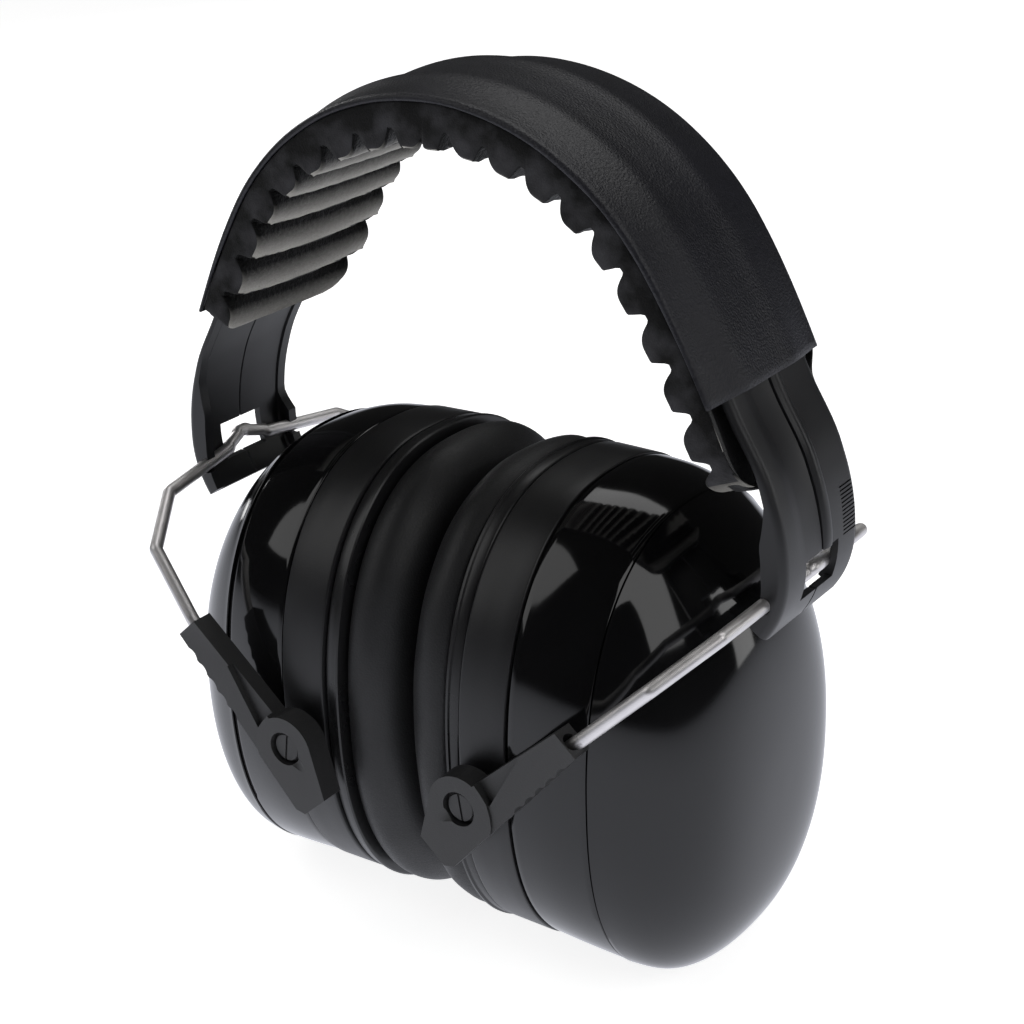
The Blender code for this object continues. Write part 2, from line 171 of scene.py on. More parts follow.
# Profiles round the cup's axis: x, half width.
CUSHION = (
    (13.0, 38.2), (10.5, 39.6), (7.5, 39.8), (4.2, 38.0), (1.8, 34.8), (0.7, 31.0),
    (0.7, 27.5), (2.0, 24.2), (5.2, 22.4), (9.0, 22.0), (13.0, 22.8),
)
CUSHION_PRESSURE = 4.0
CUSHION_CAP = 1.2
CLOTH_FRAMES = 20
FOAM = (
    (20.3, 1.0), (20.1, 8.0), (19.9, 18.0), (20.0, 28.0), (20.6, 33.5), (21.8, 35.6),
    (24.0, 36.0), (30.0, 36.0), (31.6, 35.4), (32.0, 33.0),
)
FOAM_STRETCH = 1.3
FOAM_SQUARENESS = 2.2

# Stage, in metres.
FLOOR_HALF = 6.0
REFLECTION_SCALE = 0.3
BACKDROP_RADIUS = 5.9
SCENE_MIDDLE = (0.0, 0.0, 0.08)
CAMERA_PLACE = (0.22447, -0.30774, 0.24897)
CAMERA_AZIMUTH_DEG = 35.794
CAMERA_ELEVATION_DEG = 23.053
CAMERA_ROLL_DEG = -2.136


# Meshes


def finished(name, bm):
    bmesh.ops.recalc_face_normals(bm, faces=bm.faces)
    mesh = bpy.data.meshes.new(name)
    bm.to_mesh(mesh)
    bm.free()
    return mesh


def loft(name, rings, closed=False):
    """Joins rings of equal length by quads; the ends get caps or, if closed, meet."""
    bm = bmesh.new()
    rows = [[bm.verts.new(point) for point in ring] for ring in rings]
    pairs = list(zip(rows, rows[1:])) + ([(rows[-1], rows[0])] if closed else [])
    for a, b in pairs:
        for i in range(len(a)):
            j = (i + 1) % len(a)
            bm.faces.new((a[i], a[j], b[j], b[i]))
    if not closed:
        bm.faces.new(rows[0])
        bm.faces.new(rows[-1])
    return finished(name, bm)


def cylinder(name, start, end, radius, segments=48, end_radius=None):
    start, end = Vector(start), Vector(end)
    way = end - start
    turn = way.to_track_quat("Z", "Y").to_matrix().to_4x4()
    turn.translation = (start + end) / 2
    bm = bmesh.new()
    bmesh.ops.create_cone(
        bm, cap_ends=True, segments=segments, radius1=radius,
        radius2=radius if end_radius is None else end_radius, depth=way.length, matrix=turn,
    )
    return finished(name, bm)


def box(name, a, b):
    low = Vector(map(min, a, b))
    size = Vector(map(max, a, b)) - low
    bm = bmesh.new()
    bmesh.ops.create_cube(bm, size=1.0)
    for vert in bm.verts:
        vert.co = [low[i] + size[i] * (vert.co[i] + 0.5) for i in range(3)]
    return finished(name, bm)


def extruded(name, outline, y_from, y_to):
    """A flat outline of (x, z) points, from one Y to another."""
    return loft(name, [[Vector((x, y, z)) for x, z in outline] for y in (y_from, y_to)])


def piece(name, mesh, *materials):
    mesh.transform(Matrix.Scale(MM, 4))
    for material in materials:
        mesh.materials.append(material)
    made = bpy.data.objects.new(name, mesh)
    bpy.context.scene.collection.objects.link(made)
    return made


def applied(made):
    """Replaces the mesh by what its modifiers make of it."""
    depsgraph = bpy.context.evaluated_depsgraph_get()
    mesh = bpy.data.meshes.new_from_object(made.evaluated_get(depsgraph))
    made.modifiers.clear()
    made.data = mesh


def carve(made, tools, operation="DIFFERENCE"):
    """Booleans with solids in millimetres, applied one after the other."""
    for tool in tools:
        tool.transform(Matrix.Scale(MM, 4))
        solid = bpy.data.objects.new("tool", tool)
        bpy.context.scene.collection.objects.link(solid)
        cut = made.modifiers.new("cut", "BOOLEAN")
        cut.operation, cut.solver, cut.object = operation, "EXACT", solid
        applied(made)
        bpy.data.objects.remove(solid)


def soften(made, width, segments=2, angle=32.0):
    """Rounds every edge sharper than the angle, by a bevel of that width in millimetres."""
    merge = 0.02 * MM
    bm = bmesh.new()
    bm.from_mesh(made.data)
    bmesh.ops.remove_doubles(bm, verts=bm.verts, dist=merge)
    bmesh.ops.dissolve_degenerate(bm, edges=bm.edges, dist=merge)
    bm.to_mesh(made.data)
    bm.free()
    bevel = made.modifiers.new("bevel", "BEVEL")
    bevel.width, bevel.segments = width * MM, segments
    bevel.limit_method, bevel.angle_limit = "ANGLE", math.radians(angle)
    applied(made)


def settle(made, body, nodes, smooth=38.0, weighted=False):
    """Smooth shading but for sharp edges, and what the piece rides on and stands for.

    Weighted normals keep large flat faces flat beside their bevels.
    """
    for polygon in made.data.polygons:
        polygon.use_smooth = True
    made.data.set_sharp_from_angle(angle=math.radians(smooth))
    if weighted:
        even = made.modifiers.new("even", "WEIGHTED_NORMAL")
        even.keep_sharp, even.weight = True, 90
        applied(made)
    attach(made, body)
    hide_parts(*nodes)
    return made


def smoothstep(low, high, value):
    t = min(1.0, max(0.0, (value - low) / (high - low)))
    return t * t * (3 - 2 * t)


# Materials


def nodes_of(name, colour, roughness, metallic=0.0):
    made = bpy.data.materials.new(name)
    made.use_nodes = True
    tree = made.node_tree
    shader = tree.nodes["Principled BSDF"]
    shader.inputs["Base Color"].default_value = (*colour, 1.0)
    shader.inputs["Roughness"].default_value = roughness
    shader.inputs["Metallic"].default_value = metallic
    place = tree.nodes.new("ShaderNodeTexCoord").outputs["Object"]
    return made, tree, shader, place


def noise_node(tree, place, size_mm, detail=3.0):
    """Noise whose features are about that many millimetres across."""
    made = tree.nodes.new("ShaderNodeTexNoise")
    made.inputs["Scale"].default_value = 1.0 / (size_mm * MM)
    made.inputs["Detail"].default_value = detail
    tree.links.new(place, made.inputs["Vector"])
    return made.outputs["Fac"]


def remap(tree, value, low, high, from_low=0.3, from_high=0.7):
    """Stretches a value to low..high; noise lies mostly between the default limits."""
    made = tree.nodes.new("ShaderNodeMapRange")
    for key, number in (
        ("From Min", from_low), ("From Max", from_high), ("To Min", low), ("To Max", high),
    ):
        made.inputs[key].default_value = number
    tree.links.new(value, made.inputs["Value"])
    return made.outputs["Result"]


def tint(tree, factor, low, high):
    made = tree.nodes.new("ShaderNodeMix")
    made.data_type = "RGBA"
    made.inputs["A"].default_value = (*low, 1.0)
    made.inputs["B"].default_value = (*high, 1.0)
    tree.links.new(factor, made.inputs["Factor"])
    return made.outputs["Result"]


def lighten(tree, colour, factor, high):
    made = tree.nodes.new("ShaderNodeMix")
    made.data_type = "RGBA"
    tree.links.new(colour, made.inputs["A"])
    made.inputs["B"].default_value = (*high, 1.0)
    tree.links.new(factor, made.inputs["Factor"])
    return made.outputs["Result"]


def total(tree, a, b, share):
    """a plus a share of b."""
    made = tree.nodes.new("ShaderNodeMath")
    made.operation = "MULTIPLY_ADD"
    tree.links.new(b, made.inputs[0])
    made.inputs[1].default_value = share
    tree.links.new(a, made.inputs[2])
    return made.outputs["Value"]


def bump(tree, shader, height, depth_mm, strength=1.0):
    made = tree.nodes.new("ShaderNodeBump")
    made.inputs["Distance"].default_value = depth_mm * MM
    made.inputs["Strength"].default_value = strength
    tree.links.new(height, made.inputs["Height"])
    tree.links.new(made.outputs["Normal"], shader.inputs["Normal"])


def edge_wear(tree, colour, high, amount):
    """Lightens convex edges, as handling does."""
    worn = tree.nodes.new("ShaderNodeNewGeometry").outputs["Pointiness"]
    return lighten(tree, colour, remap(tree, worn, 0.0, amount, 0.52, 0.62), high)


def leather(name, low, high, roughness, grain_mm, grain_depth, wrinkle_mm=3.5):
    """Grained leatherette: small cells and pores, wider wrinkles, and slow changes of colour."""
    made, tree, shader, place = nodes_of(name, low, roughness)
    cells = tree.nodes.new("ShaderNodeTexVoronoi")
    cells.feature = "SMOOTH_F1"
    cells.inputs["Scale"].default_value = 1.0 / (grain_mm * MM)
    cells.inputs["Smoothness"].default_value = 0.6
    tree.links.new(place, cells.inputs["Vector"])
    fine = noise_node(tree, place, grain_mm * 0.7, 4.0)
    wrinkles = noise_node(tree, place, wrinkle_mm, 5.0)
    height = total(tree, total(tree, fine, cells.outputs["Distance"], 0.9), wrinkles, 0.4)
    bump(tree, shader, height, grain_depth)
    patch = noise_node(tree, place, 14.0, 4.0)
    colour = tint(tree, remap(tree, patch, 0.0, 1.0), low, high)
    colour = edge_wear(tree, colour, tuple(c * 1.8 for c in high), 0.5)
    tree.links.new(colour, shader.inputs["Base Color"])
    rough = remap(tree, fine, roughness - 0.07, roughness + 0.09)
    tree.links.new(rough, shader.inputs["Roughness"])
    return made


def plastic(
    name, low, high, roughness, grain_mm, grain_depth, spread=0.05, specular=0.5, wear=0.35,
):
    """Moulded plastic with a fine grain, smudges in its gloss and lighter edges."""
    made, tree, shader, place = nodes_of(name, low, roughness)
    shader.inputs["Specular IOR Level"].default_value = specular
    fine = noise_node(tree, place, grain_mm, 3.0)
    smudges = noise_node(tree, place, 18.0, 5.0)
    bump(tree, shader, fine, grain_depth)
    colour = tint(tree, remap(tree, smudges, 0.0, 1.0), low, high)
    colour = edge_wear(tree, colour, tuple(c * 2.0 for c in high), wear)
    tree.links.new(colour, shader.inputs["Base Color"])
    rough = remap(tree, smudges, roughness - spread, roughness + spread)
    tree.links.new(rough, shader.inputs["Roughness"])
    return made


def brushed_steel(name):
    made, tree, shader, place = nodes_of(name, (0.7, 0.68, 0.67), 0.4, 1.0)
    scratches = noise_node(tree, place, 0.5, 4.0)
    patches = noise_node(tree, place, 6.0, 3.0)
    bump(tree, shader, scratches, 0.02)
    colour = tint(tree, remap(tree, patches, 0.0, 1.0), (0.74, 0.72, 0.72), (0.90, 0.88, 0.87))
    tree.links.new(colour, shader.inputs["Base Color"])
    tree.links.new(remap(tree, patches, 0.38, 0.50), shader.inputs["Roughness"])
    return made


def stored(tree, name):
    """A number that mark_hollows() stores on the pad."""
    made = tree.nodes.new("ShaderNodeAttribute")
    made.attribute_name = name
    return made.outputs["Fac"]


def ribbed_leather(name, low, high, roughness):
    """The pad's coated face: painted highlight on the ribs' crests, painted shade in the grooves.
    """
    made, tree, shader, place = nodes_of(name, low, roughness)
    coarse = noise_node(tree, place, 0.9, 4.0)
    fine = noise_node(tree, place, 0.4, 3.0)
    bump(tree, shader, total(tree, coarse, fine, 0.5), 0.38)
    shade = total(tree, stored(tree, "shade"), coarse, 0.08)
    # Painted light: bright at each rib's crisp lower edge, fading into painted shade up towards
    # the next rib.
    colour = tint(tree, remap(tree, shade, 0.0, 1.0, 0.0, 0.58), high, low)
    tree.links.new(colour, shader.inputs["Base Color"])
    rough = remap(tree, coarse, roughness - 0.06, roughness + 0.1)
    tree.links.new(rough, shader.inputs["Roughness"])
    shader.inputs["Specular IOR Level"].default_value = 0.15
    return made


def fleece(name, low, high):
    """The short nap on the sides of the pad, with brushed patches and painted shade up towards the
    cover and in the notches.
    """
    made, tree, shader, place = nodes_of(name, low, 0.9)
    nap = noise_node(tree, place, 0.35, 3.0)
    brushed = noise_node(tree, place, 7.0, 5.0)
    bump(tree, shader, nap, 0.12)
    # Brushed patches, darkened by painted shade as "hollow" grows: up the side towards the cover
    # and in the notches.
    worn = total(tree, brushed, stored(tree, "hollow"), -0.07)
    colour = tint(tree, remap(tree, worn, 0.0, 1.0, 0.30, 0.58), low, high)
    tree.links.new(colour, shader.inputs["Base Color"])
    tree.links.new(remap(tree, nap, 0.82, 0.98), shader.inputs["Roughness"])
    shader.inputs["Sheen Weight"].default_value = 0.04
    shader.inputs["Sheen Roughness"].default_value = 0.6
    shader.inputs["Specular IOR Level"].default_value = 0.25
    return made


def foam_material(name):
    made, tree, shader, place = nodes_of(name, (0.03, 0.03, 0.032), 0.95)
    cells = tree.nodes.new("ShaderNodeTexVoronoi")
    cells.inputs["Scale"].default_value = 1.0 / (0.9 * MM)
    tree.links.new(place, cells.inputs["Vector"])
    bump(tree, shader, cells.outputs["Distance"], 0.35)
    colour = tint(tree, cells.outputs["Distance"], (0.012, 0.012, 0.013), (0.06, 0.06, 0.063))
    tree.links.new(colour, shader.inputs["Base Color"])
    tree.links.new(remap(tree, cells.outputs["Distance"], 0.85, 1.0), shader.inputs["Roughness"])
    return made


COVER = leather("cover_leather", (0.006, 0.006, 0.009), (0.010, 0.010, 0.0145), 0.42, 0.5, 0.085)
CUT_EDGE = leather("cover_cut_edge", (0.035, 0.034, 0.034), (0.06, 0.058, 0.056), 0.75, 0.3, 0.05)
# The pad face's pale colour is a painted highlight standing in for the floor's sheen on the ribs;
# its near-black is painted shade.
PAD_FACE = ribbed_leather("pad_face", (0.003, 0.003, 0.003), (0.44, 0.43, 0.41), 0.5)
PAD_SIDE = fleece("pad_side", (0.002, 0.002, 0.0022), (0.034, 0.034, 0.039))
BACKING = leather("pad_backing", (0.012, 0.012, 0.013), (0.018, 0.018, 0.019), 0.55, 0.5, 0.05)
CUSHION_SKIN = leather(
    "cushion_skin", (0.008, 0.008, 0.009), (0.012, 0.012, 0.013), 0.5, 0.45, 0.035, 2.4
)
ARM = plastic("arm_plastic", (0.009, 0.009, 0.0105), (0.013, 0.013, 0.0145), 0.38, 0.5, 0.012)
FORK = plastic("fork_plastic", (0.020, 0.020, 0.021), (0.028, 0.028, 0.029), 0.48, 0.35, 0.04)
RING = plastic("ring_plastic", (0.007, 0.007, 0.008), (0.011, 0.011, 0.012), 0.38, 0.4, 0.02)
PLATE = plastic("plate_plastic", (0.009, 0.009, 0.010), (0.013, 0.013, 0.014), 0.30, 0.4, 0.01)
GLOSS = plastic(
    "gloss_plastic", (0.0035, 0.0035, 0.004), (0.005, 0.005, 0.0055), 0.085, 9.0, 0.012, 0.02,
    0.55, 0.1,
)
STEEL = brushed_steel("satin_steel")
OPEN_CELL = foam_material("absorber_foam")


# Headband


def side_centre(side):
    angle = math.radians(CROWN_END_DEG)
    inward = CROWN_RADIUS - SIDE_RADIUS
    return side * inward * math.cos(angle), CROWN_Z + inward * math.sin(angle)


def band_point(side, degrees, depth, y):
    """A point below the cover's outer line: degrees above the horizontal, on that side."""
    angle = math.radians(degrees)
    if degrees >= CROWN_END_DEG:
        x, z, radius = 0.0, CROWN_Z, CROWN_RADIUS - depth
    else:
        x, z = side_centre(side)
        radius = SIDE_RADIUS - depth
    return Vector((x + side * radius * math.cos(angle), y, z + radius * math.sin(angle)))


def band_length(degrees):
    """Length of the cover's outer line from the crown down to that angle, in millimetres."""
    crown = CROWN_RADIUS * math.radians(90.0 - max(degrees, CROWN_END_DEG))
    return crown + SIDE_RADIUS * math.radians(max(0.0, CROWN_END_DEG - degrees))


def band_degrees(length):
    crown = CROWN_RADIUS * math.radians(90.0 - CROWN_END_DEG)
    if length <= crown:
        return 90.0 - math.degrees(length / CROWN_RADIUS)
    return CROWN_END_DEG - math.degrees((length - crown) / SIDE_RADIUS)


def band_sweep(name, outline, left_end, right_end, step):
    """Sweeps outline(s), a list of (y, depth), along the band in steps of about that length.

    s is the length from the crown along the cover's outer line, below 0 on the left.
    """
    start, stop = -band_length(left_end), band_length(right_end)
    count = round((stop - start) / step)
    rings = []
    for i in range(count + 1):
        s = start + (stop - start) * i / count
        side = -1 if s < 0 else 1
        degrees = band_degrees(abs(s))
        rings.append([band_point(side, degrees, depth, y) for y, depth in outline(s)])
    return loft(name, rings)


def cover_outline(s):
    """A raised middle over the arms' tunnel, two soft ridges, and thin edges that meet the pad."""
    reach = abs(s) / band_length(COVER_END_DEG)
    swell = 1.0 - 0.5 * smoothstep(0.35, 1.0, reach)
    droop = 0.5 * smoothstep(0.72, 1.0, reach)
    outer = []
    for half_steps in range(-40, 41):
        y = half_steps / 2
        depth = -0.5 + (1.75 + droop) * smoothstep(6.0, 20.8, abs(y)) ** 1.2
        depth -= 0.5 * math.exp(-((y - 6.5) / 3.2) ** 2) * swell
        depth -= 0.45 * math.exp(-((y + 10.5) / 2.8) ** 2) * swell
        depth += 0.10 * noise.noise(Vector((s / 17, y / 9, 3.0)))
        outer.append((y, depth))
    curl = 0.2 * noise.noise(Vector((s / 14, 0.0, 7.0)))
    shoulder = outer[-1][1]
    right = [
        (COVER_HALF - 0.45, shoulder + 0.15), (COVER_HALF - 0.12, shoulder + 0.45),
        (COVER_HALF, shoulder + 0.85), (COVER_HALF, 2.45 + curl),
        (COVER_HALF - 0.12, 2.62 + curl), (COVER_HALF - 0.4, 2.68 + curl),
        (COVER_HALF - 0.62, 2.55 + curl), (COVER_HALF - 0.7, 2.35),
    ]
    inner = [(y, max(-0.1, depth + 0.4)) for y, depth in outer if abs(y) < 20.0]
    left = [(-y, depth) for y, depth in right]
    return outer + right + inner[::-1] + left[::-1]


GROOVE_PITCH = 10.0
GROOVE_DEPTH = 3.6
GROOVE_STEEP = 0.09
GROOVE_FLOOR = 0.11
SIDE_STEEP = 0.11
PAD_TOP = 6.6
PAD_LOW = 10.4
PAD_SIDE_TOP = 2.75
RIB_BOW = 1.6


def rib_share(s):
    """Where s lies between two ribs' crisp lower edges: 1 at a rib's own, 0 at the next one up."""
    share = ((s + band_length(COVER_END_DEG)) / GROOVE_PITCH) % 1.0
    return 1.0 - share if s < 0 else share


def groove(s, side_share):
    """How deep the pad is grooved at s, from 0 to 1: steep below each rib, easy above it.

    Towards the pad's sides, where side_share nears 1, the grooves become round notches.
    """
    steep = GROOVE_STEEP + SIDE_STEEP * side_share**4
    floor = steep + GROOVE_FLOOR
    share = rib_share(s)
    if s + band_length(COVER_END_DEG) < GROOVE_PITCH * 0.2:
        return 0.0
    if share < steep:
        return smoothstep(0.0, steep, share)
    if share < floor:
        return 1.0
    rise = (share - floor) / (1.0 - floor)
    pinch = 1.0 + 1.5 * side_share**4
    return (1.0 - math.sin(math.pi / 2 * rise)) ** pinch + 0.05 * math.cos(math.pi * rise) ** 2


def end_taper(s, far, length, shrink):
    """Half-width factor that rounds off an end."""
    left = far - s
    if left > length:
        return 1.0
    u = 1.0 - max(0.0, left) / length
    return 1.0 - shrink * (1.0 - math.sqrt(max(0.0, 1.0 - u * u)))


def rear_taper(s):
    """Narrows the rear of the pad and backing below the cover, where the arm hides them."""
    return 1.0 - 0.18 * smoothstep(-1.0, 5.0, s - band_length(COVER_END_DEG))


def pad_outline(s):
    """The ribbed pad: its napped sides reach up over the backing to the cover's edge."""
    full = pad_full(s)
    half = PAD_HALF + 0.1 + 0.12 * noise.noise(Vector((s / 4, 5.0, 0.0)))
    far_left, far_right = band_length(COVER_END_DEG + 0.1), band_length(PAD_END_RIGHT_DEG)
    taper = end_taper(s, far_right, 9.0, 0.45)
    rear = half * taper * end_taper(-s, far_left, 12.0, 0.5) * rear_taper(s)
    front = half * taper * end_taper(-s, far_left, 2.0, 0.05)
    towards = -1.0 if s < 0 else 1.0

    def low(share):
        bow = RIB_BOW * (1.0 - share * share) * towards
        depth = full - GROOVE_DEPTH * groove(s - bow, abs(share))
        return depth + 0.15 * noise.noise(Vector((s / 6, 6.0 * share, 0.0)))

    outline = [(0.0, PAD_TOP)]
    for sign, width in ((1.0, rear), (-1.0, front)):
        edge, skin = low(sign), 0.75 / width
        shares = [1.0 - skin, 1.0 - skin, 1.0 - skin / 3, 1.0, 1.0, 1.0, 0.993, 0.975, 0.95]
        depths = [PAD_TOP, PAD_SIDE_TOP + 0.2, PAD_SIDE_TOP, PAD_SIDE_TOP + 0.3, 5.0, edge - 1.0]
        depths += [edge - 0.45, edge - 0.12, edge]
        part = [(sign * width * k, depth) for k, depth in zip(shares, depths)]
        part += [(sign * width * k / 10, low(sign * k / 10)) for k in range(9, 0, -1)]
        outline += part if sign > 0 else [(0.0, low(0.0))] + part[::-1]
    return outline


def backing_outline(s):
    """A shallow channel for the arms' tunnel, between two lips."""
    channel, edge = 17.0, PAD_HALF - 1.0
    lip, floor, base = 3.6, 5.6, 6.35
    k = end_taper(s, band_length(PAD_END_RIGHT_DEG - 0.3), 9.0, 0.45)
    half = [
        (0.0, floor), (channel, floor), (channel + 0.5, floor - 0.5), (channel + 0.6, lip + 0.3),
        (channel + 0.9, lip), (edge - 0.6, lip), (edge - 0.15, lip + 0.3), (edge, lip + 0.9),
        (edge, base - 0.3), (edge - 0.3, base), (0.0, base),
    ]
    rear = [(y * k * rear_taper(s), d) for y, d in half]
    return rear + [(-y * k, d) for y, d in reversed(half) if y > 0]


def band_place(point):
    """Length from the crown and depth below the cover's outer line, for a point on the band."""
    reach, up, radius = abs(point.x), point.z - CROWN_Z, CROWN_RADIUS
    degrees = math.degrees(math.atan2(up, reach))
    if degrees < CROWN_END_DEG:
        x, z = side_centre(1)
        reach, up, radius = reach - x, point.z - z, SIDE_RADIUS
        degrees = math.degrees(math.atan2(up, reach))
    return math.copysign(band_length(degrees), point.x), radius - math.hypot(reach, up)


def pad_full(s):
    """Depth of the ribs' crests."""
    reach = abs(s) / band_length(COVER_END_DEG)
    return PAD_LOW + 1.3 * (1.0 - smoothstep(0.1, 0.75, reach))


def mark_hollows(made):
    """Stores two numbers on each point of the pad, for its materials.

    "hollow" is 0 at a rib's crest and 1 at a groove's floor; the napped sides take painted shade
    from it.
    "shade" grows from 0 at a rib's crisp lower edge to 1 below the next rib up, for the face's
    painted highlight and painted shade.
    """
    hollow = made.data.attributes.new("hollow", "FLOAT", "POINT")
    shade = made.data.attributes.new("shade", "FLOAT", "POINT")
    for vert in made.data.vertices:
        point = vert.co / MM
        s, depth = band_place(point)
        hollow.data[vert.index].value = (pad_full(s) - depth) / GROOVE_DEPTH
        bow = RIB_BOW * (1.0 - (point.y / PAD_HALF) ** 2) * (-1.0 if s < 0 else 1.0)
        share = rib_share(s - bow)
        shade.data[vert.index].value = 1.0 if share < GROOVE_STEEP else 1.0 - share


def mark_faces(made, index, test):
    """Gives the faces whose centre, in millimetres, and normal pass the test another material."""
    for polygon in made.data.polygons:
        if test(polygon.center / MM, polygon.normal):
            polygon.material_index = index


def headband():
    cover = piece(
        "headband_cover_skin",
        band_sweep("cover", cover_outline, COVER_END_DEG, COVER_END_DEG, 1.6), COVER, CUT_EDGE,
    )
    caps = list(cover.data.polygons)[-2:]
    for polygon in caps:
        polygon.material_index = 1
    soften(cover, 0.12, 1, 60.0)
    settle(cover, "headband", ["headband_cover"], 50.0)

    pad = piece(
        "headband_pad_ribbed",
        band_sweep("pad", pad_outline, COVER_END_DEG + 0.1, PAD_END_RIGHT_DEG, 0.5),
        PAD_FACE, PAD_SIDE,
    )
    mark_faces(pad, 1, lambda centre, normal: abs(normal.y) > 0.72)
    mark_hollows(pad)
    settle(pad, "headband", ["headband_pad"], 60.0)

    backing = piece(
        "pad_backing_strip",
        band_sweep("backing", backing_outline, COVER_END_DEG, PAD_END_RIGHT_DEG - 0.3, 1.5),
        BACKING,
    )
    settle(backing, "headband", ["pad_backing"], 40.0)


# Arms


def arm_frame(side, degrees):
    """A point on the arm's outer face and its inward direction.

    Angles down to ARM_BEND_DEG follow the band, from there to 0 a tighter bend, and below 0 the
    lip that curls inward.
    """
    under, free = ARM_DEPTH
    ease = smoothstep(0.0, 4.5, COVER_END_DEG - 0.5 - degrees)
    point = band_point(side, max(degrees, ARM_BEND_DEG), under + (free - under) * ease, 0.0)

    def inward(angle):
        angle = math.radians(angle)
        return Vector((-side * math.cos(angle), 0.0, -math.sin(angle)))

    if degrees < ARM_BEND_DEG:
        centre = point + inward(ARM_BEND_DEG) * ARM_BEND_RADIUS
        point = centre - inward(max(degrees, 0.0)) * ARM_BEND_RADIUS
    if degrees < 0.0:
        centre = point + inward(0.0) * ARM_LIP_RADIUS
        point = centre - inward(degrees) * ARM_LIP_RADIUS
    return point, inward(degrees)


def grip_grooves(side, face):
    """The fine grooves across the arm's rear edge, above the window."""
    bm = bmesh.new()
    for k in range(GRIP_COUNT):
        point, inward = arm_frame(side, GRIP_FROM_DEG + GRIP_STEP_DEG * k)
        along = Vector((-inward.z, 0.0, inward.x)) * GRIP_HALF
        corners = [
            point + inward * depth + along * way
            for depth, way in ((-0.4, -1), (-0.4, 1), (GRIP_DEPTH, 1), (GRIP_DEPTH, -1))
        ]
        outline = [(corner.x, corner.z) for corner in corners]
        bm.from_mesh(extruded("grip", outline, face * GRIP_FROM_Y, face * (ARM_HALF_WIDTH + 0.4)))
    return finished("grips", bm)


def arm_half(side_name, side, face_name, face):
    """One half of an arm: a plate with a side flange that deepens downwards.

    The rear half has the rounded rib and the grip grooves, and its flange is shallow at the foot.
    The front half is hollowed slightly beside the slit.
    """
    angles = [ARM_TOP_DEG - (ARM_TOP_DEG - ARM_BEND_DEG) * i / 24 for i in range(24)]
    angles += [ARM_BEND_DEG * (1.0 - i / 10) for i in range(10)]
    angles += [-ARM_LIP_TURN_DEG * i / 10 for i in range(11)]
    rings = []
    for degrees in angles:
        thicken = min(1.0, max(0.0, (ARM_BEND_DEG + 1.6 - degrees) / 12.0))
        plate = ARM_PLATE + 0.1 * thicken
        flange = 1.8 + 3.2 * thicken + 1.2 * min(0.0, degrees) / ARM_LIP_TURN_DEG
        if face > 0:
            flange = REAR_FLANGE + (flange - REAR_FLANGE) * (1.0 - smoothstep(-3.0, 5.0, degrees))
            grow = 1.0 + 0.15 * (1.0 - smoothstep(0.0, 22.0, degrees))
            inside = [(2.0 + 1.55 * grow, 0.0)]
            for turn in (0.92, 0.7, 0.38, 0.0, -0.38, -0.7, -0.92):
                rise = RIB_HEIGHT * smoothstep(-3.0, 4.0, degrees) * math.sqrt(1.0 - turn * turn)
                inside.append((RIB_CENTRE + RIB_HALF * grow * turn, -rise))
            inside[-1] = (max(ARM_SLIT + 0.1, inside[-1][0]), inside[-1][1])
            inside.append((ARM_SLIT, 0.0))
        else:
            sunk = 0.42 * smoothstep(0.0, 14.0, degrees) + 0.04
            inside = [(10.2, 0.0), (8.8, 0.25 * sunk), (7.4, 0.75 * sunk), (6.2, sunk)]
            inside += [(3.5, sunk), (1.6, 0.85 * sunk), (ARM_SLIT, 0.6 * sunk)]
        edge = ARM_HALF_WIDTH
        outline = [(edge, flange), (edge, 1.6), (edge - 0.12, 0.95), (edge - 0.5, 0.4)]
        outline += [(edge - 1.1, 0.1), (edge - 1.9, 0.0), *inside]
        outline += [(ARM_SLIT, plate), (edge - FLANGE_WIDTH - 0.5, plate)]
        outline += [(edge - FLANGE_WIDTH, plate + 0.35), (edge - FLANGE_WIDTH, flange)]
        point, inward = arm_frame(side, degrees)
        rings.append([point + inward * d + Vector((0.0, face * y, 0.0)) for y, d in outline])
    name = f"arm_{face_name}_{side_name}"
    half = piece(f"{name}_moulding", loft(name, rings), ARM)
    window = box(
        "window", (side * WINDOW_X[0], -WINDOW_HALF_WIDTH, HINGE_Z + WINDOW_Z[0]),
        (side * WINDOW_X[1], WINDOW_HALF_WIDTH, HINGE_Z + WINDOW_Z[1]),
    )
    hole_ends = [(side * HINGE_X, face * y, HINGE_Z) for y in FLANGE_HOLE_Y]
    hole = cylinder("hole", *hole_ends, WIRE_RADIUS + 0.2)
    carve(half, [window, hole])
    soften(half, 0.28, 2)
    if face > 0:
        carve(half, [grip_grooves(side, face)])
    settle(half, f"arm_{side_name}", [name], weighted=True)


# Wire fork


def rounded(points, radius, steps):
    """The points of a route whose corners, but for slight ones, are arcs of that radius."""
    slight = math.radians(85.0)
    points = [Vector(point) for point in points]
    route = [points[0]]
    for before, corner, after in zip(points, points[1:], points[2:]):
        a, b = (before - corner).normalized(), (after - corner).normalized()
        half = a.angle(b) / 2
        if half > slight:
            route.append(corner)
            continue
        cut = radius / math.tan(half)
        centre = corner + (a + b).normalized() * (radius / math.sin(half))
        first, last = corner + a * cut - centre, corner + b * cut - centre
        route += [centre + first.slerp(last, i / steps) for i in range(steps + 1)]
    return route + [points[-1]]


def socket_way(side):
    """The direction in which the wire leaves its socket."""
    angle = math.radians(SOCKET_DEG)
    return Vector((side * math.cos(angle), 0.0, math.sin(angle)))


